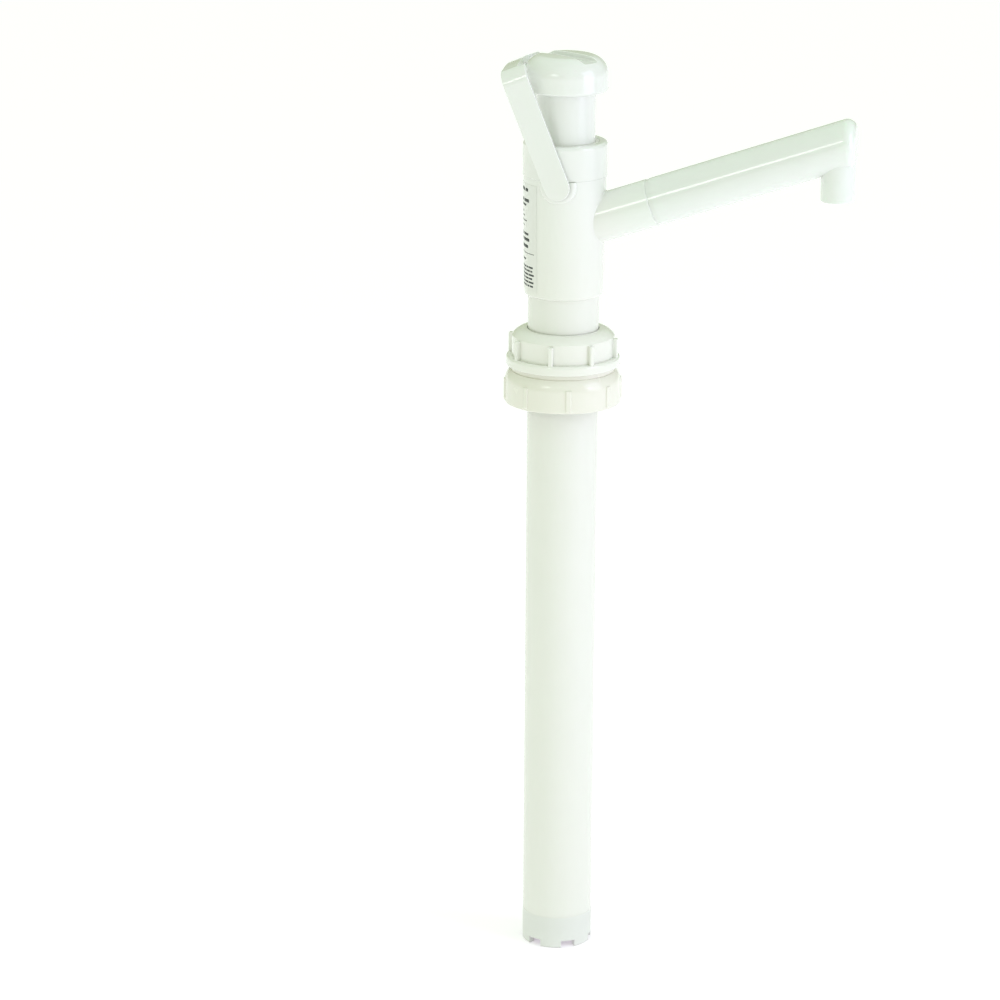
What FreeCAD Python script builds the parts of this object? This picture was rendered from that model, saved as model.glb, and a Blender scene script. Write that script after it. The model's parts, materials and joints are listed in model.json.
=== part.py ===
import FreeCAD, Part
import math
import os

# Plunger pump for a jerrycan, in millimetres: +Z up along the barrel, +X towards the spout.
# The origin is the centre of the neck adaptor's mouth, where the can's neck enters.
# At rest the plunger is pushed right down and the bail leans back against the knob.

Vector = FreeCAD.Vector
UP = Vector(0, 0, 1)
FULL_TURN = 360.0

# Fits
RUNNING_GAP = 0.05
SEAT_GAP = 0.05
END_GAP = 0.1

# Barrel and plunger, the two tubes that everything else is built round
BARREL_RADIUS = 21.5
BARREL_BORE = 19.4
PLUNGER_RADIUS = 18.0
PLUNGER_BORE = 15.5
BARREL_BOTTOM = -330.0

# Neck adaptor: a female thread for the can below, a male thread for the nut above
ADAPTOR_RADIUS = 35.3
ADAPTOR_RIB_RADIUS = 36.0
ADAPTOR_TOP_RADIUS = 32.3
ADAPTOR_SIDE_TOP = 12.5
ADAPTOR_TOP = 20.0
ADAPTOR_SHOULDER_MIDDLE = (34.5, 16.6)
ADAPTOR_COLLAR_RADIUS = 31.6
ADAPTOR_COLLAR_TOP = 22.6
ADAPTOR_RIB_BOTTOM = 1.2
ADAPTOR_RIB_TOP = 14.5
ADAPTOR_RIB_WIDTH = 3.6
ADAPTOR_RIB_ANGLE = 16.0
NECK_THREAD_RADIUS = 30.5
NECK_SOCKET_TOP = 13.0
GASKET_THICKNESS = 3.0
GASKET_BORE = 24.0
SPIGOT_RADIUS = 27.9
SPIGOT_TOP = 37.0
BARREL_PASSAGE = 21.9
SEAL_SEAT_BOTTOM = 29.0
SEAL_SEAT_BOTTOM_RADIUS = 22.8
SEAL_SEAT_TOP_RADIUS = 26.0
EDGE_ROUND = 0.8

# Compression nut
NUT_BOTTOM = 23.1
NUT_BEAD_RADIUS = 34.6
NUT_BEAD_TOP = 29.0
NUT_BEAD_ROUND = 1.6
NUT_RADIUS = 31.2
NUT_SHOULDER = 41.3
NUT_DOME_MIDDLE = (28.2, 44.0)
NUT_TOP_RADIUS = 22.9
NUT_TOP = 45.6
NUT_RIB_RADIUS = 33.9
NUT_RIB_TOP = 40.6
NUT_RIB_WIDTH = 3.0
NUT_RIB_ANGLE = -3.0
NUT_WASHER_RADIUS = 26.7
NUT_THREAD_TOP = 37.7
RIB_COUNT = 8
RIB_ROOT = 2.5

# Cone seal and slip washer inside the nut
CONE_SEAL_TOP = 37.4
WASHER_BOTTOM = 37.5
WASHER_TOP = 39.0
WASHER_RADIUS = 26.5
WASHER_BORE = 21.7

# Head sleeve, with the branch stub
SLEEVE_BOTTOM = 66.8
SLEEVE_TOP = 140.0
SLEEVE_BOTTOM_RADIUS = 23.8
SLEEVE_TOP_RADIUS = 25.0
SLEEVE_BOTTOM_ROUND = 1.8
SLEEVE_SOCKET_TOP = 96.0
CHAMBER_RADIUS = 21.0
GLAND_SPIGOT_RADIUS = 23.0
GLAND_SPIGOT_TOP = 151.0
BARREL_SEAL_RADIUS = 22.7
BARREL_SEAL_BOTTOM = 84.0
BARREL_SEAL_TOP = 86.2
PIVOT_BOSS_RADIUS = 11.2
PIVOT_BOSS_FACE = 25.4
PIVOT_BOSS_ROUND = 2.4

# Branch and spout, on an axis that rises from the barrel's
BRANCH_RISE = 19.35
BRANCH_HEIGHT = 106.57
BRANCH_RADIUS = 14.5
BRANCH_BORE = 11.5
BRANCH_END = 57.0
BRANCH_ROOT_ROUND = 0.8
SEAM_CHAMFER = 0.5
SPOUT_LAND_RADIUS = 14.15
SPOUT_LAND_END = 59.4
SPOUT_PLUG_START = 39.0
SPOUT_PLUG_BORE = 9.3
SPOUT_BORE = 12.2
SPOUT_BORE_START = 64.0
SPOUT_SEAL_START = 45.0
SPOUT_SEAL_END = 47.4
SPOUT_SEAL_GROOVE = 10.3
SPOUT_END_X = 174.9
SPOUT_END_ROUND = 6.0
NOZZLE_X = 164.4
NOZZLE_RADIUS = 10.25
NOZZLE_BORE = 8.25
NOZZLE_BOTTOM = 131.4
NOZZLE_STRAIGHT_TOP = 144.0
NOZZLE_ROOT_RADIUS = 10.5
NOZZLE_LIP_ROUND = 0.7
SPOUT_OVERLENGTH = 200.0

# Gland above the sleeve
GUIDE_BOTTOM = 128.0
GUIDE_TOP = 138.0
PLUNGER_SEAL_TOP = 144.0
SEAL_GROOVE_DEPTH = 2.5
SEAL_GROOVE_INNER = 19.0
SEAL_GROOVE_OUTER = 20.1
GLAND_CAP_RADIUS = 25.5
GLAND_CAP_TOP = 160.9
GLAND_CAP_ROUND = 2.2
GLAND_CAP_FOOT_ROUND = 0.5
GLAND_BORE = 18.4
GLAND_MOUTH_RADIUS = 20.8
GLAND_MOUTH_DEPTH = 0.6
WIPER_RADIUS = 20.2
WIPER_BOTTOM = 157.2
WIPER_TOP = 160.5

# Knob
KNOB_RADIUS = 25.4
KNOB_RIM = 191.4
KNOB_RIM_ROUND = 1.6
KNOB_SHOULDER_ROUND = 11.6
KNOB_CROWN = 213.0
KNOB_CROWN_DROP = 0.4
KNOB_SOCKET_TOP = 205.5
KNOB_SEAT_WIDTH = 11.4
KNOB_SEAT_DEPTH = 3.2
KNOB_SEAT_ANGLE = -34.0
KNOB_SEAT_ROUND = 1.2
KNOB_SEAT_EDGE_ROUND = 0.7

# Bail: a U of flat strap that pivots on the sleeve
BAIL_PIVOT_HEIGHT = 137.0
BAIL_LEAN = 22.0
BAIL_HALF_WIDTH = 28.6
BAIL_INNER_HALF_WIDTH = 25.85
BAIL_LENGTH = 77.0
BAIL_BRIDGE_RISE = 1.2
BAIL_CORNER = 9.5
BAIL_BRIDGE_THICKNESS = 3.6
BAIL_RELIEF = 2.4
BAIL_RELIEF_HALF_LENGTH = 22.0
BAIL_RELIEF_ROUND = 3.0
BAIL_EYE_RADIUS = 7.85
BAIL_EDGE_ROUND = 0.6
BAIL_PIN_RADIUS = 2.6
BAIL_PIN_INNER = 22.3
BAIL_HOLE_INNER = 22.1
BAIL_KNOB_CLEARANCE = 26.0
BAIL_CLEARANCE_BOTTOM = 180.0

# Label on the sleeve, opposite the spout
LABEL_BOTTOM = 70.5
LABEL_TOP = 136.0
LABEL_THICKNESS = 0.15
LABEL_HALF_ANGLE = 58.0

# Piston on the bottom of the plunger
PLUNGER_BOTTOM = -246.0
PLUG_FLANGE_BOTTOM = -250.0
PLUG_HEAD_TOP = -230.0
PLUG_STEM_BOTTOM = -261.9
PLUG_STEM_RADIUS = 11.0
PISTON_BOTTOM = -296.0
PISTON_RADIUS = 19.1
PISTON_SKIRT_TOP = -276.0
PISTON_CAGE_RADIUS = 16.5
PISTON_GROOVE_RADIUS = 16.5
PISTON_GROOVE_BOTTOM = -292.0
PISTON_GROOVE_TOP = -284.0
PISTON_PORT = 5.8
PISTON_SEAT_BOTTOM = -283.0
PISTON_SEAT_DEPTH = 3.0
PISTON_BALL_RADIUS = 9.0
PISTON_WINDOW_COUNT = 4
PISTON_WINDOW_WIDTH = 8.0
PISTON_WINDOW_BOTTOM = -274.0
PISTON_WINDOW_TOP = -264.0

# Foot valve and strainer in the bottom of the barrel
FOOT_TOP = -302.0
FOOT_FLANGE_BOTTOM = -336.0
FOOT_SKIRT_BOTTOM = -341.0
FOOT_SKIRT_RADIUS = 17.0
FOOT_SKIRT_BORE = 13.0
FOOT_PORT = 6.5
FOOT_SEAT_BOTTOM = -328.0
FOOT_SEAT_DEPTH = 3.0
FOOT_CHAMBER_RADIUS = 13.5
FOOT_BALL_RADIUS = 10.0
FOOT_CAGE_BOTTOM = -305.2
FOOT_CAGE_BORE = 11.0
FOOT_CAGE_BAR = 3.0
FOOT_CAGE_ARMS = 4
FOOT_SEAL_BOTTOM = -318.0
FOOT_SEAL_TOP = -315.8
FOOT_SEAL_GROOVE = 18.2
STRAINER_GRID_BOTTOM = -345.0
STRAINER_GRID_TOP = -343.0
STRAINER_HOLE_RADIUS = 2.2
STRAINER_HOLE_CIRCLES = ((0.0, 1), (6.2, 6), (12.0, 12))
STRAINER_SLOT_COUNT = 6
STRAINER_SLOT_WIDTH = 9.0
STRAINER_FOOT = -350.0
STRAINER_SLOT_TOP = -345.5
STRAINER_EDGE_ROUND = 0.8

BALL_SEAT_ANGLE = 45.0


def rod(radius, bottom, top):
    """Cylinder on the barrel's axis."""
    return Part.makeCylinder(radius, top - bottom, Vector(0, 0, bottom))


def ring(outer, inner, bottom, top):
    """Plain ring on the barrel's axis."""
    return rod(outer, bottom, top).cut(rod(inner, bottom, top))


def cone(bottom_radius, top_radius, bottom, top):
    """Cone frustum on the barrel's axis."""
    return Part.makeCone(bottom_radius, top_radius, top - bottom, Vector(0, 0, bottom))


def block(width_x, width_y, bottom, top, x=0.0):
    """Box centred on y = 0 and on the given x."""
    corner = Vector(x - width_x / 2, -width_y / 2, bottom)
    return Part.makeBox(width_x, width_y, top - bottom, corner)


def turned(start, *steps):
    """Solid of revolution. A step is (r, z) for a line, or (r, z, r, z) for an arc by its middle."""
    edges = []
    here = start
    for step in steps + (start,):
        end = step[-2:]
        points = [Vector(r, 0, z) for r, z in (here, step[:2], end)]
        if len(step) == 4:
            edges.append(Part.Arc(*points).toShape())
        else:
            edges.append(Part.makeLine(points[0], points[2]))
        here = end
    return Part.Face(Part.Wire(edges)).revolve(Vector(0, 0, 0), UP, FULL_TURN)


def around(shape, count, first_angle=0.0):
    """Copies of a shape, spaced evenly about the barrel's axis."""
    copies = []
    for index in range(count):
        copy = shape.copy()
        copy.rotate(Vector(0, 0, 0), UP, first_angle + index * FULL_TURN / count)
        copies.append(copy)
    return copies


def is_circle(edge):
    """True for a circular edge, false for any other and for the point at a pole."""
    return not edge.Degenerated and isinstance(edge.Curve, Part.Circle)


def round_circles(shape, size, radius, height):
    """Fillet the circular edges of one radius at one height."""
    near = 0.01
    edges = [
        edge
        for edge in shape.Edges
        if is_circle(edge)
        and abs(edge.Curve.Radius - radius) < near
        and abs(edge.Curve.Center.z - height) < near
    ]
    return shape.makeFillet(size, edges)


def fuse(first, others):
    """One solid from several, without leftover edges."""
    return first.fuse(others).removeSplitter()


def ribs(body_radius, rib_radius, width, bottom, top, first_angle):
    """Grip ribs with rounded edges, rooted in a body of the given radius."""
    depth = rib_radius - body_radius + RIB_ROOT
    rib = block(depth, width, bottom, top, rib_radius - depth / 2)
    outer = [edge for edge in rib.Edges if edge.BoundBox.XMin > rib_radius - depth / 2]
    return around(rib.makeFillet(EDGE_ROUND, outer), RIB_COUNT, first_angle)


def along_branch(distance):
    """Point on the branch's axis, at a distance from the barrel's axis."""
    rise = math.radians(BRANCH_RISE)
    return Vector(distance * math.cos(rise), 0, BRANCH_HEIGHT + distance * math.sin(rise))


def branch_rod(radius, start, end):
    """Cylinder on the branch's axis."""
    base = along_branch(start)
    return Part.makeCylinder(radius, end - start, base, along_branch(end) - base)


def ball_centre(port_radius, ball_radius, seat_bottom):
    """Height of a ball that rests on the cone above a port."""
    slope = math.radians(BALL_SEAT_ANGLE)
    contact_radius = ball_radius * math.sin(slope)
    contact_height = seat_bottom + contact_radius - port_radius
    return contact_height + ball_radius * math.cos(slope) + SEAT_GAP / math.cos(slope)


def neck_adaptor():
    body = turned(
        (NECK_THREAD_RADIUS, 0),
        (ADAPTOR_RADIUS, 0),
        (ADAPTOR_RADIUS, ADAPTOR_SIDE_TOP),
        ADAPTOR_SHOULDER_MIDDLE + (ADAPTOR_TOP_RADIUS, ADAPTOR_TOP),
        (ADAPTOR_COLLAR_RADIUS, ADAPTOR_TOP),
        (ADAPTOR_COLLAR_RADIUS, ADAPTOR_COLLAR_TOP),
        (SPIGOT_RADIUS, ADAPTOR_COLLAR_TOP),
        (SPIGOT_RADIUS, SPIGOT_TOP),
        (SEAL_SEAT_TOP_RADIUS, SPIGOT_TOP),
        (SEAL_SEAT_BOTTOM_RADIUS, SEAL_SEAT_BOTTOM),
        (BARREL_PASSAGE, SEAL_SEAT_BOTTOM),
        (BARREL_PASSAGE, NECK_SOCKET_TOP),
        (NECK_THREAD_RADIUS, NECK_SOCKET_TOP),
    )
    body = round_circles(body, EDGE_ROUND, ADAPTOR_RADIUS, 0)
    grip = ribs(
        ADAPTOR_RADIUS,
        ADAPTOR_RIB_RADIUS,
        ADAPTOR_RIB_WIDTH,
        ADAPTOR_RIB_BOTTOM,
        ADAPTOR_RIB_TOP,
        ADAPTOR_RIB_ANGLE,
    )
    return fuse(body, grip)


def neck_gasket():
    return ring(NECK_THREAD_RADIUS, GASKET_BORE, NECK_SOCKET_TOP - GASKET_THICKNESS, NECK_SOCKET_TOP)


def compression_nut():
    body = turned(
        (SPIGOT_RADIUS + RUNNING_GAP, NUT_BOTTOM),
        (NUT_BEAD_RADIUS, NUT_BOTTOM),
        (NUT_BEAD_RADIUS, NUT_BEAD_TOP),
        (NUT_RADIUS, NUT_BEAD_TOP),
        (NUT_RADIUS, NUT_SHOULDER),
        NUT_DOME_MIDDLE + (NUT_TOP_RADIUS, NUT_TOP),
        (BARREL_PASSAGE, NUT_TOP),
        (BARREL_PASSAGE, WASHER_TOP + END_GAP),
        (NUT_WASHER_RADIUS, WASHER_TOP + END_GAP),
        (NUT_WASHER_RADIUS, NUT_THREAD_TOP),
        (SPIGOT_RADIUS + RUNNING_GAP, NUT_THREAD_TOP),
    )
    body = round_circles(body, NUT_BEAD_ROUND, NUT_BEAD_RADIUS, NUT_BEAD_TOP)
    body = round_circles(body, EDGE_ROUND, NUT_BEAD_RADIUS, NUT_BOTTOM)
    grip = ribs(
        NUT_RADIUS,
        NUT_RIB_RADIUS,
        NUT_RIB_WIDTH,
        NUT_BEAD_TOP - NUT_BEAD_ROUND,
        NUT_RIB_TOP,
        NUT_RIB_ANGLE,
    )
    return fuse(body, grip)


def slip_washer():
    return ring(WASHER_RADIUS, WASHER_BORE, WASHER_BOTTOM, WASHER_TOP)


def cone_seal():
    bottom = SEAL_SEAT_BOTTOM + END_GAP
    bottom_radius = SEAL_SEAT_BOTTOM_RADIUS - END_GAP
    wedge = cone(bottom_radius, SEAL_SEAT_TOP_RADIUS - END_GAP, bottom, CONE_SEAL_TOP)
    return wedge.cut(rod(BARREL_RADIUS + RUNNING_GAP, bottom, CONE_SEAL_TOP))


def barrel_tube():
    return ring(BARREL_RADIUS, BARREL_BORE, BARREL_BOTTOM, SLEEVE_SOCKET_TOP)


def barrel_seal():
    return ring(BARREL_SEAL_RADIUS, BARREL_RADIUS, BARREL_SEAL_BOTTOM, BARREL_SEAL_TOP)


def pivot_bosses():
    """Flat round pads for the bail on both sides of the sleeve, cut off level with its top."""
    pads = Part.makeCylinder(
        PIVOT_BOSS_RADIUS,
        2 * PIVOT_BOSS_FACE,
        Vector(0, -PIVOT_BOSS_FACE, BAIL_PIVOT_HEIGHT),
        Vector(0, 1, 0),
    )
    rims = [edge for edge in pads.Edges if is_circle(edge)]
    pads = pads.makeFillet(PIVOT_BOSS_ROUND, rims)
    return pads.common(rod(BAIL_HALF_WIDTH, SLEEVE_BOTTOM, SLEEVE_TOP))


def head_sleeve():
    shell = cone(SLEEVE_BOTTOM_RADIUS, SLEEVE_TOP_RADIUS, SLEEVE_BOTTOM, SLEEVE_TOP)
    shell = round_circles(shell, SLEEVE_BOTTOM_ROUND, SLEEVE_BOTTOM_RADIUS, SLEEVE_BOTTOM)
    shell = fuse(shell, [branch_rod(BRANCH_RADIUS, 0, BRANCH_END)])
    root = [
        edge
        for edge in shell.Edges
        if edge.BoundBox.XMin > 0
        and edge.BoundBox.XMax < SLEEVE_TOP_RADIUS
        and edge.BoundBox.ZLength > BRANCH_RADIUS
    ]
    shell = shell.makeFillet(BRANCH_ROOT_ROUND, root)
    tip = [
        edge
        for edge in shell.Edges
        if is_circle(edge) and abs(edge.Curve.Radius - BRANCH_RADIUS) < SEAM_CHAMFER / 2
    ]
    shell = shell.makeChamfer(SEAM_CHAMFER, tip)
    spigot = rod(GLAND_SPIGOT_RADIUS, SLEEVE_TOP, GLAND_SPIGOT_TOP)
    shell = fuse(shell, [spigot, pivot_bosses()])
    pivot_hole = Part.makeCylinder(
        BAIL_PIN_RADIUS + RUNNING_GAP,
        BAIL_HALF_WIDTH - BAIL_HOLE_INNER,
        Vector(0, BAIL_HOLE_INNER, BAIL_PIVOT_HEIGHT),
        Vector(0, 1, 0),
    )
    hollows = [
        rod(BARREL_RADIUS, SLEEVE_BOTTOM, SLEEVE_SOCKET_TOP),
        rod(CHAMBER_RADIUS, SLEEVE_SOCKET_TOP, GLAND_SPIGOT_TOP),
        rod(BARREL_SEAL_RADIUS, BARREL_SEAL_BOTTOM, BARREL_SEAL_TOP),
        branch_rod(BRANCH_BORE, 0, BRANCH_END),
    ]
    return shell.cut(hollows + around(pivot_hole, 2))


def label_body(thickness):
    """The sleeve's outside between the label's edges, thickened by the given amount."""
    slope = (SLEEVE_TOP_RADIUS - SLEEVE_BOTTOM_RADIUS) / (SLEEVE_TOP - SLEEVE_BOTTOM)
    bottom_radius = SLEEVE_BOTTOM_RADIUS + (LABEL_BOTTOM - SLEEVE_BOTTOM) * slope
    top_radius = SLEEVE_BOTTOM_RADIUS + (LABEL_TOP - SLEEVE_BOTTOM) * slope
    return cone(bottom_radius + thickness, top_radius + thickness, LABEL_BOTTOM, LABEL_TOP)


def sleeve_label():
    wedge = Part.makeCylinder(
        BAIL_HALF_WIDTH,
        LABEL_TOP - LABEL_BOTTOM,
        Vector(0, 0, LABEL_BOTTOM),
        UP,
        2 * LABEL_HALF_ANGLE,
    )
    wedge.rotate(Vector(0, 0, 0), UP, FULL_TURN / 2 - LABEL_HALF_ANGLE)
    return label_body(LABEL_THICKNESS).cut(label_body(0)).common(wedge)


def guide_bush():
    return ring(CHAMBER_RADIUS, PLUNGER_RADIUS + RUNNING_GAP, GUIDE_BOTTOM, GUIDE_TOP)


def plunger_seal():
    body = ring(CHAMBER_RADIUS, PLUNGER_RADIUS + RUNNING_GAP, GUIDE_TOP, PLUNGER_SEAL_TOP)
    groove = ring(SEAL_GROOVE_OUTER, SEAL_GROOVE_INNER, GUIDE_TOP, GUIDE_TOP + SEAL_GROOVE_DEPTH)
    return body.cut(groove)


def gland_ring():
    return ring(CHAMBER_RADIUS, GLAND_BORE, PLUNGER_SEAL_TOP, GLAND_SPIGOT_TOP)


def gland_cap():
    body = rod(GLAND_CAP_RADIUS, SLEEVE_TOP, GLAND_CAP_TOP)
    body = round_circles(body, GLAND_CAP_ROUND, GLAND_CAP_RADIUS, GLAND_CAP_TOP)
    body = round_circles(body, GLAND_CAP_FOOT_ROUND, GLAND_CAP_RADIUS, SLEEVE_TOP)
    hollows = [
        rod(GLAND_SPIGOT_RADIUS, SLEEVE_TOP, GLAND_SPIGOT_TOP),
        rod(GLAND_BORE, GLAND_SPIGOT_TOP, GLAND_CAP_TOP),
        rod(WIPER_RADIUS, WIPER_BOTTOM, GLAND_CAP_TOP),
        cone(WIPER_RADIUS, GLAND_MOUTH_RADIUS, GLAND_CAP_TOP - GLAND_MOUTH_DEPTH, GLAND_CAP_TOP),
    ]
    return body.cut(hollows)


def wiper_ring():
    return ring(WIPER_RADIUS, PLUNGER_RADIUS + RUNNING_GAP, WIPER_BOTTOM, WIPER_TOP)


def spout_tube():
    main = branch_rod(BRANCH_RADIUS, SPOUT_LAND_END, SPOUT_OVERLENGTH)
    cut_off_x = SPOUT_END_X + SPOUT_OVERLENGTH / 2
    main = main.cut(block(SPOUT_OVERLENGTH, SPOUT_OVERLENGTH, 0, SPOUT_OVERLENGTH, cut_off_x))
    end_rim = [edge for edge in main.Edges if edge.BoundBox.XMin > SPOUT_END_X - RUNNING_GAP]
    main = main.makeFillet(SPOUT_END_ROUND, end_rim)
    centre_height = BRANCH_HEIGHT + NOZZLE_X * math.tan(math.radians(BRANCH_RISE))
    nozzle = rod(NOZZLE_RADIUS, NOZZLE_BOTTOM, NOZZLE_STRAIGHT_TOP)
    nozzle = round_circles(nozzle, NOZZLE_LIP_ROUND, NOZZLE_RADIUS, NOZZLE_BOTTOM)
    nozzle = fuse(nozzle, [cone(NOZZLE_RADIUS, NOZZLE_ROOT_RADIUS, NOZZLE_STRAIGHT_TOP, centre_height)])
    nozzle.translate(Vector(NOZZLE_X, 0, 0))
    land = branch_rod(SPOUT_LAND_RADIUS, BRANCH_END, SPOUT_LAND_END)
    plug = branch_rod(BRANCH_BORE, SPOUT_PLUG_START, BRANCH_END)
    body = fuse(main, [nozzle, land, plug])
    bore_end = NOZZLE_X / math.cos(math.radians(BRANCH_RISE))
    outlet = rod(NOZZLE_BORE, NOZZLE_BOTTOM, centre_height)
    outlet.translate(Vector(NOZZLE_X, 0, 0))
    hollows = [
        branch_rod(SPOUT_PLUG_BORE, SPOUT_PLUG_START, SPOUT_BORE_START),
        branch_rod(SPOUT_BORE, SPOUT_BORE_START, bore_end),
        outlet,
        spout_seal(),
    ]
    return body.cut(hollows)


def spout_seal():
    groove = branch_rod(SPOUT_SEAL_GROOVE, SPOUT_SEAL_START, SPOUT_SEAL_END)
    return branch_rod(BRANCH_BORE, SPOUT_SEAL_START, SPOUT_SEAL_END).cut(groove)


def bail_outline(half_width, length, corner, rise):
    """Face of an inverted U, filled, in the YZ plane, with its open end below the pivot."""
    turn = corner * (1 - math.sqrt(0.5))
    side = length - rise - corner
    points = [
        Vector(0, half_width, -2 * BAIL_EYE_RADIUS),
        Vector(0, half_width, side),
        Vector(0, half_width - turn, side + corner - turn),
        Vector(0, half_width - corner, length - rise),
        Vector(0, 0, length),
    ]
    mirror = [Vector(0, -point.y, point.z) for point in points]
    edges = [
        Part.makeLine(points[0], points[1]),
        Part.Arc(points[1], points[2], points[3]).toShape(),
        Part.Arc(points[3], points[4], mirror[3]).toShape(),
        Part.Arc(mirror[3], mirror[2], mirror[1]).toShape(),
        Part.makeLine(mirror[1], mirror[0]),
        Part.makeLine(mirror[0], points[0]),
    ]
    return Part.Face(Part.Wire(edges))


def bail():
    wide = Vector(2 * BAIL_EYE_RADIUS, 0, 0)
    outer = bail_outline(BAIL_HALF_WIDTH, BAIL_LENGTH, BAIL_CORNER, BAIL_BRIDGE_RISE)
    inner_corner = BAIL_CORNER - (BAIL_HALF_WIDTH - BAIL_INNER_HALF_WIDTH)
    inner_length = BAIL_LENGTH - BAIL_BRIDGE_THICKNESS
    inner = bail_outline(BAIL_INNER_HALF_WIDTH, inner_length, inner_corner, BAIL_BRIDGE_RISE)
    strap = outer.extrude(wide).cut(inner.extrude(wide))
    strap.translate(wide * -0.5)
    arms = block(2 * BAIL_EYE_RADIUS, 2 * BAIL_HALF_WIDTH, 0, BAIL_LENGTH)
    eye_axis = Vector(0, 2 * BAIL_HALF_WIDTH, 0)
    eyes = Part.makeCylinder(BAIL_EYE_RADIUS, eye_axis.y, eye_axis * -0.5, eye_axis)
    strap = strap.common(fuse(arms, [eyes]))
    long_edges = [edge for edge in strap.Edges if edge.Length > BAIL_EYE_RADIUS]
    strap = strap.makeFillet(BAIL_EDGE_ROUND, long_edges)
    relief = block(
        BAIL_EYE_RADIUS,
        2 * BAIL_RELIEF_HALF_LENGTH,
        inner_length - BAIL_CORNER,
        BAIL_LENGTH,
        BAIL_RELIEF + BAIL_EYE_RADIUS / 2,
    )
    relief_corners = [
        edge
        for edge in relief.Edges
        if edge.BoundBox.ZLength > BAIL_CORNER and edge.BoundBox.XMax < BAIL_EYE_RADIUS
    ]
    strap = strap.cut(relief.makeFillet(BAIL_RELIEF_ROUND, relief_corners))
    pin = Part.makeCylinder(
        BAIL_PIN_RADIUS,
        BAIL_INNER_HALF_WIDTH - BAIL_PIN_INNER + BAIL_EDGE_ROUND,
        Vector(0, BAIL_PIN_INNER, 0),
        Vector(0, 1, 0),
    )
    strap = fuse(strap, around(pin, 2))
    strap.rotate(Vector(0, 0, 0), Vector(0, 1, 0), -BAIL_LEAN)
    strap.translate(Vector(0, 0, BAIL_PIVOT_HEIGHT))
    return strap.cut(rod(BAIL_KNOB_CLEARANCE, BAIL_CLEARANCE_BOTTOM, BAIL_PIVOT_HEIGHT + BAIL_LENGTH))


def plunger_tube():
    return ring(PLUNGER_RADIUS, PLUNGER_BORE, PLUNGER_BOTTOM, KNOB_SOCKET_TOP)


def knob():
    crown_edge = KNOB_CROWN - KNOB_CROWN_DROP
    flat_radius = KNOB_RADIUS - KNOB_SHOULDER_ROUND
    turn = KNOB_SHOULDER_ROUND * math.sqrt(0.5)
    body = turned(
        (0, KNOB_RIM),
        (KNOB_RADIUS, KNOB_RIM),
        (KNOB_RADIUS, crown_edge - KNOB_SHOULDER_ROUND),
        (flat_radius + turn, crown_edge - KNOB_SHOULDER_ROUND + turn, flat_radius, crown_edge),
        (flat_radius / 2, KNOB_CROWN - KNOB_CROWN_DROP / 4, 0, KNOB_CROWN),
    )
    body = round_circles(body, KNOB_RIM_ROUND, KNOB_RADIUS, KNOB_RIM)
    seat_bottom = KNOB_CROWN - KNOB_SEAT_DEPTH
    seat = block(2 * KNOB_RADIUS, KNOB_SEAT_WIDTH, seat_bottom, KNOB_CROWN + KNOB_SEAT_DEPTH)
    floor_edges = [
        edge
        for edge in seat.Edges
        if edge.BoundBox.ZMax < KNOB_CROWN and edge.BoundBox.XLength > KNOB_RADIUS
    ]
    seat = seat.makeFillet(KNOB_SEAT_ROUND, floor_edges)
    body = body.cut(seat)
    seat_edges = [
        edge
        for edge in body.Edges
        if edge.BoundBox.YLength < KNOB_SEAT_EDGE_ROUND
        and edge.BoundBox.ZMax > crown_edge - KNOB_SEAT_EDGE_ROUND
    ]
    body = body.makeFillet(KNOB_SEAT_EDGE_ROUND, seat_edges)
    body.rotate(Vector(0, 0, 0), UP, KNOB_SEAT_ANGLE)
    return body.cut(rod(PLUNGER_RADIUS, KNOB_RIM, KNOB_SOCKET_TOP))


def plunger_plug():
    head = rod(PLUNGER_BORE, PLUNGER_BOTTOM, PLUG_HEAD_TOP)
    flange = rod(PLUNGER_RADIUS, PLUG_FLANGE_BOTTOM, PLUNGER_BOTTOM)
    stem = rod(PLUG_STEM_RADIUS, PLUG_STEM_BOTTOM, PLUG_FLANGE_BOTTOM)
    return fuse(head, [flange, stem])


def piston_body():
    skirt = rod(PISTON_RADIUS, PISTON_BOTTOM, PISTON_SKIRT_TOP)
    cage = rod(PISTON_CAGE_RADIUS, PISTON_SKIRT_TOP, PLUG_FLANGE_BOTTOM)
    body = fuse(skirt, [cage])
    window = block(
        PISTON_RADIUS,
        PISTON_WINDOW_WIDTH,
        PISTON_WINDOW_BOTTOM,
        PISTON_WINDOW_TOP,
        PISTON_RADIUS,
    )
    seat_top = PISTON_SEAT_BOTTOM + PISTON_SEAT_DEPTH
    hollows = [
        ring(PISTON_RADIUS, PISTON_GROOVE_RADIUS, PISTON_GROOVE_BOTTOM, PISTON_GROOVE_TOP),
        rod(PISTON_PORT, PISTON_BOTTOM, PISTON_SEAT_BOTTOM),
        cone(PISTON_PORT, PISTON_PORT + PISTON_SEAT_DEPTH, PISTON_SEAT_BOTTOM, seat_top),
        rod(PLUG_STEM_RADIUS, seat_top, PLUG_FLANGE_BOTTOM),
    ]
    return body.cut(hollows + around(window, PISTON_WINDOW_COUNT))


def piston_seal():
    return ring(
        BARREL_BORE - RUNNING_GAP,
        PISTON_GROOVE_RADIUS + RUNNING_GAP,
        PISTON_GROOVE_BOTTOM + END_GAP,
        PISTON_GROOVE_TOP - END_GAP,
    )


def piston_ball():
    height = ball_centre(PISTON_PORT, PISTON_BALL_RADIUS, PISTON_SEAT_BOTTOM)
    return Part.makeSphere(PISTON_BALL_RADIUS, Vector(0, 0, height))


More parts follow.
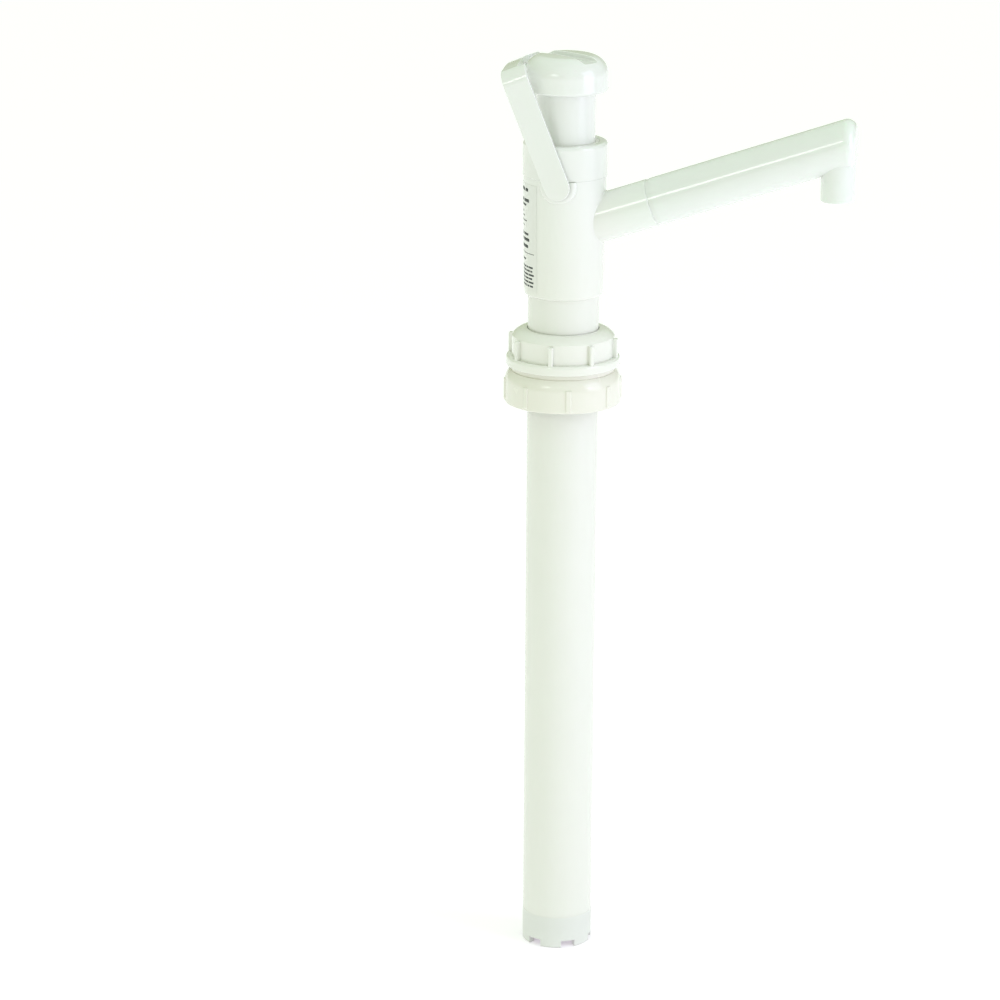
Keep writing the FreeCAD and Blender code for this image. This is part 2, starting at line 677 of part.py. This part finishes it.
def foot_valve_body():
    plug = rod(BARREL_BORE, BARREL_BOTTOM, FOOT_TOP)
    flange = rod(BARREL_RADIUS, FOOT_FLANGE_BOTTOM, BARREL_BOTTOM)
    skirt = rod(FOOT_SKIRT_RADIUS, FOOT_SKIRT_BOTTOM, FOOT_FLANGE_BOTTOM)
    seat_top = FOOT_SEAT_BOTTOM + FOOT_SEAT_DEPTH
    hollows = [
        rod(FOOT_SKIRT_BORE, FOOT_SKIRT_BOTTOM, FOOT_FLANGE_BOTTOM),
        rod(FOOT_PORT, FOOT_FLANGE_BOTTOM, FOOT_SEAT_BOTTOM),
        cone(FOOT_PORT, FOOT_PORT + FOOT_SEAT_DEPTH, FOOT_SEAT_BOTTOM, seat_top),
        rod(FOOT_CHAMBER_RADIUS, seat_top, FOOT_TOP),
        foot_valve_seal(),
    ]
    return fuse(plug, [flange, skirt]).cut(hollows)


def foot_valve_seal():
    return ring(BARREL_BORE, FOOT_SEAL_GROOVE, FOOT_SEAL_BOTTOM, FOOT_SEAL_TOP)


def foot_ball():
    height = ball_centre(FOOT_PORT, FOOT_BALL_RADIUS, FOOT_SEAT_BOTTOM)
    return Part.makeSphere(FOOT_BALL_RADIUS, Vector(0, 0, height))


def foot_ball_cage():
    rim = ring(FOOT_CHAMBER_RADIUS, FOOT_CAGE_BORE, FOOT_CAGE_BOTTOM, FOOT_TOP)
    inside = rod(FOOT_CHAMBER_RADIUS, FOOT_CAGE_BOTTOM, FOOT_TOP)
    middle = FOOT_CHAMBER_RADIUS / 2
    arm = block(FOOT_CHAMBER_RADIUS, FOOT_CAGE_BAR, FOOT_CAGE_BOTTOM, FOOT_TOP, middle)
    return fuse(rim, around(arm.common(inside), FOOT_CAGE_ARMS))


def foot_strainer():
    body = rod(BARREL_RADIUS, STRAINER_FOOT, FOOT_FLANGE_BOTTOM)
    body = round_circles(body, STRAINER_EDGE_ROUND, BARREL_RADIUS, STRAINER_FOOT)
    hollows = [
        rod(FOOT_SKIRT_RADIUS, STRAINER_GRID_TOP, FOOT_FLANGE_BOTTOM),
        rod(FOOT_SKIRT_RADIUS, STRAINER_FOOT, STRAINER_GRID_BOTTOM),
    ]
    for circle_radius, count in STRAINER_HOLE_CIRCLES:
        hole = rod(STRAINER_HOLE_RADIUS, STRAINER_GRID_BOTTOM, STRAINER_GRID_TOP)
        hole.translate(Vector(circle_radius, 0, 0))
        hollows += around(hole, count)
    slot = block(BARREL_RADIUS, STRAINER_SLOT_WIDTH, STRAINER_FOOT, STRAINER_SLOT_TOP, BARREL_RADIUS)
    return body.cut(hollows + around(slot, STRAINER_SLOT_COUNT))


PIECES = (
    neck_adaptor,
    neck_gasket,
    compression_nut,
    slip_washer,
    cone_seal,
    barrel_tube,
    barrel_seal,
    head_sleeve,
    sleeve_label,
    guide_bush,
    plunger_seal,
    gland_ring,
    gland_cap,
    wiper_ring,
    spout_tube,
    spout_seal,
    bail,
    plunger_tube,
    knob,
    plunger_plug,
    piston_body,
    piston_seal,
    piston_ball,
    foot_valve_body,
    foot_valve_seal,
    foot_ball,
    foot_ball_cage,
    foot_strainer,
)

os.makedirs("parts", exist_ok=True)
for make_piece in PIECES:
    make_piece().exportStep("parts/" + make_piece.__name__ + ".step")
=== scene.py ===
import json
import math
import random

import bmesh
import bpy
from mathutils import Matrix, Vector


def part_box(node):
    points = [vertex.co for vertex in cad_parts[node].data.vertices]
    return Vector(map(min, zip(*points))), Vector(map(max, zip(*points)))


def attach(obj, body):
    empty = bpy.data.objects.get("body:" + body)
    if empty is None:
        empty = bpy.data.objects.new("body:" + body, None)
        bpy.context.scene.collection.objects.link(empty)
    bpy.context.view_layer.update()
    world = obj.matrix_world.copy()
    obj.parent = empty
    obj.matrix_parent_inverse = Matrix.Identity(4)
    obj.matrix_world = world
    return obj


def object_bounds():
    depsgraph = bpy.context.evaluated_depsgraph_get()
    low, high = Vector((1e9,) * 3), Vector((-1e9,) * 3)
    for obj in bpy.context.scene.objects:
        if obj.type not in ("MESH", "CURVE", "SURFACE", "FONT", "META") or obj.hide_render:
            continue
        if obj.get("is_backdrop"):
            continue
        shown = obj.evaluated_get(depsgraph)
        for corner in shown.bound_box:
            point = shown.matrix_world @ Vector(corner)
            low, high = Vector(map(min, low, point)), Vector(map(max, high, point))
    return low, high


# Looks of a white hand plunger pump for a jerrycan. Metres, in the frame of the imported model:
# +Z up along the barrel, +X towards the spout, origin at the neck adaptor's mouth.

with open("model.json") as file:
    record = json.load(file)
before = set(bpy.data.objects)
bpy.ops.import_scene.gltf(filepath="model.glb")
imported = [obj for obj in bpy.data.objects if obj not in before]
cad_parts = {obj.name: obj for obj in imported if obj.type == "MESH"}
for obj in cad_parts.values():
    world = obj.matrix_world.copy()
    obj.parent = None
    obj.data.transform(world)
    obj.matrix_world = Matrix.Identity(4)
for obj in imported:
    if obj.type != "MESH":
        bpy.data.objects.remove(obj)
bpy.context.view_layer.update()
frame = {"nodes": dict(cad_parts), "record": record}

MM = 0.001
NODES = frame["nodes"]
SCENE = bpy.context.scene

# Texture scales, in features a metre.
FLOW_SCALE = 45.0
HANDLING_SCALE = 130.0
SKIN_SCALE = 2600.0
BLOOM_SCALE = 220.0
RUBBER_SKIN_SCALE = 1800.0
INK_SCALE = 900.0

# Reach of the painted shade in corners, and the depths of the fine and the broad relief.
CORNER_SHADE_REACH = 2.5 * MM
FINE_RELIEF = 0.05 * MM
BROAD_RELIEF = 0.2 * MM
RUBBER_RELIEF = 0.1 * MM

PLASTIC_IOR = 1.49
COAT_ROUGHNESS = 0.05
SCATTER_RADIUS = (4.0 * MM, 5.0 * MM, 4.2 * MM)


def nod(tree, kind, **values):
    """A shader node with some of its sockets or properties set."""
    node = tree.nodes.new(kind)
    for key, value in values.items():
        if key in node.inputs:
            node.inputs[key].default_value = value
        else:
            setattr(node, key, value)
    return node


def scaled_noise(tree, place, scale, detail=2.0, roughness=0.5):
    """Noise in object space, with so many features a metre."""
    noise = nod(tree, "ShaderNodeTexNoise", Scale=scale, Detail=detail, Roughness=roughness)
    tree.links.new(place, noise.inputs["Vector"])
    return noise.outputs["Fac"]


def remap(tree, value, low, high, from_low=0.3, from_high=0.7):
    """A value stretched from one range onto another."""
    ranged = nod(tree, "ShaderNodeMapRange")
    ranged.inputs["From Min"].default_value = from_low
    ranged.inputs["From Max"].default_value = from_high
    ranged.inputs["To Min"].default_value = low
    ranged.inputs["To Max"].default_value = high
    tree.links.new(value, ranged.inputs["Value"])
    return ranged.outputs["Result"]


def mixed_colour(tree, factor, first, second):
    """Two colours mixed by a factor. Either may be a colour or a socket."""
    mix = nod(tree, "ShaderNodeMix", data_type="RGBA")
    tree.links.new(factor, mix.inputs["Factor"])
    for socket, colour in ((mix.inputs[6], first), (mix.inputs[7], second)):
        if isinstance(colour, bpy.types.NodeSocket):
            tree.links.new(colour, socket)
        else:
            socket.default_value = (*colour, 1.0)
    return mix.outputs[2]


def shaded(colour, factor):
    return tuple(channel * factor for channel in colour)


def drifted(tree, place, axis, start, end, tint, tone):
    """A tone that changes to a tint along one axis, between two places in metres."""
    parts = nod(tree, "ShaderNodeSeparateXYZ")
    tree.links.new(place, parts.inputs[0])
    return mixed_colour(tree, remap(tree, parts.outputs[axis], 0.0, 1.0, start, end), tone, tint)


def plastic(
    name, colour, roughness, shadow_tint, translucency=0.0, mottle=0.03, grain=0.02, coat=0.0, drifts=()
):
    """Moulded plastic: flow mottle, handling dullness, a fine skin grain and painted shade in the
    corners.
    """
    material = bpy.data.materials.new(name)
    material.use_nodes = True
    tree = material.node_tree
    shader = tree.nodes["Principled BSDF"]
    place = nod(tree, "ShaderNodeTexCoord").outputs["Object"]
    flow = scaled_noise(tree, place, FLOW_SCALE, detail=4.0, roughness=0.55)
    skin = scaled_noise(tree, place, SKIN_SCALE, roughness=0.6)
    handling = scaled_noise(tree, place, HANDLING_SCALE)
    mottling = remap(tree, flow, 0.0, 1.0, 0.1, 0.9)
    tone = mixed_colour(tree, mottling, shaded(colour, 1.0 - mottle), colour)
    for axis, start, end, tint in drifts:
        tone = drifted(tree, place, axis, start, end, tint, tone)
    # Painted shade: ambient occlusion darkens corners, gaps and recesses towards the shadow tint.
    corner = nod(tree, "ShaderNodeAmbientOcclusion", Distance=CORNER_SHADE_REACH, samples=12)
    painted_corner_shade = remap(tree, corner.outputs["AO"], 0.0, 1.0, 0.1, 0.7)
    tone = mixed_colour(tree, painted_corner_shade, shadow_tint, tone)
    tree.links.new(tone, shader.inputs["Base Color"])
    dulling = remap(tree, handling, roughness * 0.92, roughness * 1.1, 0.1, 0.9)
    tree.links.new(dulling, shader.inputs["Roughness"])
    fine = nod(tree, "ShaderNodeBump", Strength=grain, Distance=FINE_RELIEF)
    tree.links.new(skin, fine.inputs["Height"])
    broad = nod(tree, "ShaderNodeBump", Strength=0.02, Distance=BROAD_RELIEF)
    tree.links.new(flow, broad.inputs["Height"])
    tree.links.new(fine.outputs["Normal"], broad.inputs["Normal"])
    tree.links.new(broad.outputs["Normal"], shader.inputs["Normal"])
    shader.inputs["IOR"].default_value = PLASTIC_IOR
    shader.inputs["Coat Weight"].default_value = coat
    shader.inputs["Coat Roughness"].default_value = COAT_ROUGHNESS
    if translucency:
        shader.inputs["Subsurface Weight"].default_value = translucency
        shader.inputs["Subsurface Radius"].default_value = SCATTER_RADIUS
        shader.inputs["Subsurface Scale"].default_value = 1.0
    return material


def rubber(name, colour):
    """Matt black rubber with bloom and a coarse moulded skin."""
    material = bpy.data.materials.new(name)
    material.use_nodes = True
    tree = material.node_tree
    shader = tree.nodes["Principled BSDF"]
    place = nod(tree, "ShaderNodeTexCoord").outputs["Object"]
    bloom = scaled_noise(tree, place, BLOOM_SCALE, detail=6.0, roughness=0.65)
    tone = mixed_colour(tree, remap(tree, bloom, 0.0, 1.0), colour, shaded(colour, 2.2))
    tree.links.new(tone, shader.inputs["Base Color"])
    tree.links.new(remap(tree, bloom, 0.55, 0.8), shader.inputs["Roughness"])
    bump = nod(tree, "ShaderNodeBump", Strength=0.25, Distance=RUBBER_RELIEF)
    tree.links.new(scaled_noise(tree, place, RUBBER_SKIN_SCALE), bump.inputs["Height"])
    tree.links.new(bump.outputs["Normal"], shader.inputs["Normal"])
    return material


def ink(name, colour):
    """Screen-printed ink, a little uneven in cover."""
    material = bpy.data.materials.new(name)
    material.use_nodes = True
    tree = material.node_tree
    shader = tree.nodes["Principled BSDF"]
    place = nod(tree, "ShaderNodeTexCoord").outputs["Object"]
    cover = scaled_noise(tree, place, INK_SCALE, detail=3.0)
    tone = mixed_colour(tree, remap(tree, cover, 0.0, 1.0), colour, shaded(colour, 1.8))
    tree.links.new(tone, shader.inputs["Base Color"])
    shader.inputs["Roughness"].default_value = 0.5
    return material


# Slow changes of colour: creamier towards the foot as painted warm bounce light from below, greener
# along the branch.
PAINTED_BOUNCE_BELOW = ("Z", 0.17, 0.05, (0.86, 0.855, 0.81))
GREEN_BRANCH = ("X", 0.026, 0.05, (0.83, 0.865, 0.825))

MATERIALS = {
    "white_plastic": plastic(
        "white_plastic",
        colour=(0.86, 0.87, 0.855),
        roughness=0.2,
        shadow_tint=(0.70, 0.72, 0.66),
        translucency=0.1,
        coat=0.8,
        drifts=(PAINTED_BOUNCE_BELOW, GREEN_BRANCH),
    ),
    # Creamy tone: partly the adaptor's own colour, partly painted warm bounce light from below.
    "adaptor_plastic": plastic(
        "adaptor_plastic",
        colour=(0.86, 0.84, 0.77),
        roughness=0.26,
        shadow_tint=(0.70, 0.67, 0.56),
        translucency=0.1,
        coat=0.6,
    ),
    "natural_plastic": plastic(
        "natural_plastic",
        colour=(0.835, 0.87, 0.835),
        roughness=0.2,
        shadow_tint=(0.66, 0.70, 0.64),
        translucency=0.3,
        coat=1.0,
    ),
    # Creamy tone: partly the barrel's own colour, partly painted warm bounce light from below.
    "barrel_plastic": plastic(
        "barrel_plastic",
        colour=(0.86, 0.86, 0.82),
        roughness=0.24,
        shadow_tint=(0.68, 0.68, 0.60),
        translucency=0.1,
        coat=0.5,
    ),
    "valve_plastic": plastic(
        "valve_plastic",
        colour=(0.80, 0.81, 0.79),
        roughness=0.38,
        shadow_tint=(0.58, 0.59, 0.55),
        translucency=0.05,
    ),
    "bearing_plastic": plastic(
        "bearing_plastic",
        colour=(0.86, 0.86, 0.84),
        roughness=0.4,
        shadow_tint=(0.7, 0.7, 0.66),
    ),
    "ball_plastic": plastic(
        "ball_plastic",
        colour=(0.86, 0.86, 0.84),
        roughness=0.15,
        shadow_tint=(0.7, 0.7, 0.66),
        coat=0.8,
    ),
    "label_film": plastic(
        "label_film",
        colour=(0.86, 0.87, 0.855),
        roughness=0.2,
        shadow_tint=(0.74, 0.76, 0.71),
        translucency=0.1,
        coat=0.8,
        drifts=(PAINTED_BOUNCE_BELOW,),
    ),
    "pale_rubber": plastic(
        "pale_rubber",
        colour=(0.84, 0.84, 0.79),
        roughness=0.5,
        shadow_tint=(0.62, 0.61, 0.54),
        translucency=0.1,
        grain=0.1,
    ),
    "rubber": rubber("rubber", (0.022, 0.022, 0.024)),
}
INK = ink("label_ink", (0.03, 0.035, 0.035))


def finish_nodes():
    """Gives each CAD node the material of its slot."""
    for entry in frame["record"]["subparts"]:
        node = NODES[entry["node"]]
        node.data.materials.clear()
        node.data.materials.append(MATERIALS[entry["material_slot"]])


def mesh_piece(name, builder, material, body):
    """A piece from a bmesh, smooth, on a body."""
    mesh = bpy.data.meshes.new(name)
    builder.to_mesh(mesh)
    builder.free()
    for face in mesh.polygons:
        face.use_smooth = True
    piece = bpy.data.objects.new(name, mesh)
    SCENE.collection.objects.link(piece)
    mesh.materials.append(material)
    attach(piece, body)
    return piece


def label_print():
    """Rows of plain dashes on the label, as generic printing with no lettering."""
    low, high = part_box("sleeve_label")
    corners = [vertex.co for vertex in NODES["sleeve_label"].data.vertices]
    draft = (25.0 - 23.8) / (140.0 - 66.8)
    base_radius = max(math.hypot(co.x, co.y) for co in corners if co.z < low.z + 0.1 * MM)
    half_angle = max(abs(math.atan2(co.y, -co.x)) for co in corners)
    height = high.z - low.z
    printed_share = 0.93
    rule_thickness = 0.5
    chance = random.Random(7)
    builder = bmesh.new()
    # Share of the label's height, thickness in mm, share of the half width.
    row_styles = [
        (0.945, 2.0, 0.72),
        (0.845, 2.0, 0.76),
        (0.800, 1.3, 0.60),
        (0.737, 0.7, 0.42),
        (0.695, 0.7, 0.46),
        (0.652, 0.7, 0.62),
        (0.605, 0.7, 0.44),
        (0.530, 1.5, 0.72),
        (0.478, 1.9, 0.76),
        (0.415, 1.9, 0.70),
        (0.354, 0.35, 0.97),
        (0.292, 1.1, 0.55),
    ]
    small_print_top = 0.226
    small_print_step = 0.035
    small_print_rows = 6
    for row in range(small_print_rows):
        row_styles.append((small_print_top - row * small_print_step, 1.1, chance.uniform(0.88, 1.0)))
    for share, thickness, reach in row_styles:
        middle = low.z + share * height
        span = half_angle * printed_share * reach
        angle = -span
        while angle < span:
            word = (1.0 + 2.4 * chance.random()) * thickness * 1.6 * MM / base_radius
            word = min(word, span - angle)
            if thickness < rule_thickness:
                word = 2 * span
            cone = (base_radius, low.z, draft)
            add_dash(builder, cone, middle, thickness * MM, angle, angle + word)
            angle += word + 0.55 * thickness * MM / base_radius
    return mesh_piece("label_print", builder, INK, "barrel")


def add_dash(builder, cone, middle, thickness, start, end):
    """A thin raised strip on the conical label, between two angles from the side opposite the spout."""
    base_radius, base_height, draft = cone
    ink_lift = 0.03 * MM
    sunk_share = 0.3
    step_angle = 0.06
    steps = max(1, math.ceil((end - start) / step_angle))
    rings = []
    for index in range(steps + 1):
        angle = math.pi - (start + (end - start) * index / steps)
        corners = []
        for height, depth in ((-0.5, 0.0), (-0.5, 1.0), (0.5, 1.0), (0.5, 0.0)):
            z = middle + height * thickness
            radius = base_radius + (z - base_height) * draft + (depth - sunk_share) * ink_lift
            corners.append(builder.verts.new((radius * math.cos(angle), radius * math.sin(angle), z)))
        rings.append(corners)
    join_rings(builder, rings)


def join_rings(builder, rings):
    """Faces between rings of four corners, and a cap at each end."""
    for first, second in zip(rings, rings[1:]):
        for side in range(4):
            following = (side + 1) % 4
            builder.faces.new((first[side], first[following], second[following], second[side]))
    builder.faces.new(rings[0][::-1])
    builder.faces.new(rings[-1])


def neck_thread():
    """Female screw thread moulded inside the adaptor's mouth, as one helical ridge."""
    root_radius = 30.5 * MM
    crest_radius = 29.3 * MM
    pitch = 3.5 * MM
    start_height = 1.4 * MM
    turns = 1.9
    steps = 150
    taper_turns = 0.12
    foot_half_width = 0.9 * MM
    crest_half_width = 0.35 * MM
    bite = 0.05 * MM
    least_height = 0.02
    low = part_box("neck_adaptor")[0].z
    builder = bmesh.new()
    rings = []
    for index in range(steps + 1):
        turn = turns * index / steps
        angle = 2 * math.pi * turn
        middle = low + start_height + pitch * turn
        fade = min(1.0, turn / taper_turns, (turns - turn) / taper_turns)
        crest = root_radius - (root_radius - crest_radius) * max(fade, least_height)
        outline = (
            (root_radius + bite, -foot_half_width),
            (crest, -crest_half_width),
            (crest, crest_half_width),
            (root_radius + bite, foot_half_width),
        )
        ring = []
        for radius, rise in outline:
            corner = (radius * math.cos(angle), radius * math.sin(angle), middle + rise)
            ring.append(builder.verts.new(corner))
        rings.append(ring)
    join_rings(builder, rings)
    bmesh.ops.recalc_face_normals(builder, faces=builder.faces)
    return mesh_piece("neck_thread", builder, MATERIALS["adaptor_plastic"], "neck_fitting")


def camera():
    """Long lens, a little above the pump and to the right of square on."""
    azimuth = math.radians(11.0)
    elevation = math.radians(16.1)
    roll = math.radians(0.4)
    distance = 2.5452
    neck_right_of_middle = 38.4 * MM
    neck_above_middle = 109.1 * MM
    data = bpy.data.cameras.new("camera")
    data.sensor_width = 36.0
    data.lens = 151.2
    back = Vector(
        (
            math.sin(azimuth) * math.cos(elevation),
            -math.cos(azimuth) * math.cos(elevation),
            math.sin(elevation),
        )
    )
    level = Vector((math.cos(azimuth), math.sin(azimuth), 0.0))
    upright = back.cross(level)
    right = math.cos(roll) * level + math.sin(roll) * upright
    up = math.cos(roll) * upright - math.sin(roll) * level
    riser_foot = Vector((0.0, 0.0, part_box("compression_nut")[1].z + 4.4 * MM))
    place = riser_foot + back * distance - right * neck_right_of_middle - up * neck_above_middle
    view = bpy.data.objects.new("camera", data)
    view.matrix_world = Matrix.Translation(place) @ Matrix((right, up, back)).transposed().to_4x4()
    SCENE.collection.objects.link(view)
    SCENE.camera = view


def towards(azimuth, elevation):
    """Direction by its angles in degrees. Azimuth is counted from the front, to the right."""
    turn = math.radians(azimuth)
    rise = math.radians(elevation)
    return Vector((math.sin(turn) * math.cos(rise), -math.cos(turn) * math.cos(rise), math.sin(rise)))


def light(name, azimuth, elevation, distance, width, height, power, colour=(1.0, 1.0, 1.0)):
    """Softbox that faces the head of the pump."""
    data = bpy.data.lights.new(name, "AREA")
    data.shape = "RECTANGLE"
    data.size = width
    data.size_y = height
    data.energy = power
    data.color = colour
    away = towards(azimuth, elevation)
    box = bpy.data.objects.new(name, data)
    box.location = Vector((0.02, 0.0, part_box("head_sleeve")[1].z)) + away * distance
    box.rotation_euler = away.to_track_quat("Z", "Y").to_euler()
    SCENE.collection.objects.link(box)


def light_tent():
    """Pale tent round the pump, brighter overhead."""
    world = bpy.data.worlds.new("tent")
    world.use_nodes = True
    tree = world.node_tree
    place = nod(tree, "ShaderNodeTexCoord").outputs["Generated"]
    above = nod(tree, "ShaderNodeSeparateXYZ")
    tree.links.new(place, above.inputs[0])
    overhead = remap(tree, above.outputs["Z"], 0.0, 1.0, 0.2, 0.9)
    side_tone = (0.46, 0.525, 0.35)
    overhead_tone = (0.94, 1.05, 0.94)
    tone = mixed_colour(tree, overhead, side_tone, overhead_tone)
    tree.links.new(tone, tree.nodes["Background"].inputs["Color"])
    SCENE.world = world


def floor():
    """Plain white floor under the strainer's foot, with a faint glow of its own."""
    half = 30.0
    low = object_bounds()[0][2]
    corners = [(x * half, y * half, low) for x, y in ((-1, -1), (1, -1), (1, 1), (-1, 1))]
    mesh = bpy.data.meshes.new("floor")
    mesh.from_pydata(corners, [], [(0, 1, 2, 3)])
    sheet = bpy.data.objects.new("floor", mesh)
    SCENE.collection.objects.link(sheet)
    paper = bpy.data.materials.new("paper")
    paper.use_nodes = True
    shader = paper.node_tree.nodes["Principled BSDF"]
    shader.inputs["Base Color"].default_value = (0.9, 0.9, 0.9, 1.0)
    shader.inputs["Roughness"].default_value = 0.9
    shader.inputs["Emission Color"].default_value = (0.96, 0.86, 1.0, 1.0)
    shader.inputs["Emission Strength"].default_value = 0.31
    mesh.materials.append(paper)
    sheet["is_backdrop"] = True


def studio():
    """Light tent, a large box and a lamp on the right, and a long box on the left for the gloss."""
    SCENE.view_settings.view_transform = "Standard"
    light_tent()
    light(
        "right_box",
        azimuth=75.0,
        elevation=14.0,
        distance=1.5,
        width=0.9,
        height=1.3,
        power=7.8,
        colour=(0.72, 0.67, 1.0),
    )
    light(
        "strip",
        azimuth=-24.0,
        elevation=22.0,
        distance=2.2,
        width=0.7,
        height=0.26,
        power=2.8,
    )
    light(
        "right_lamp",
        azimuth=66.0,
        elevation=8.0,
        distance=2.2,
        width=0.2,
        height=0.3,
        power=1.6,
    )
    floor()


camera()
studio()
finish_nodes()
label_print()
neck_thread()
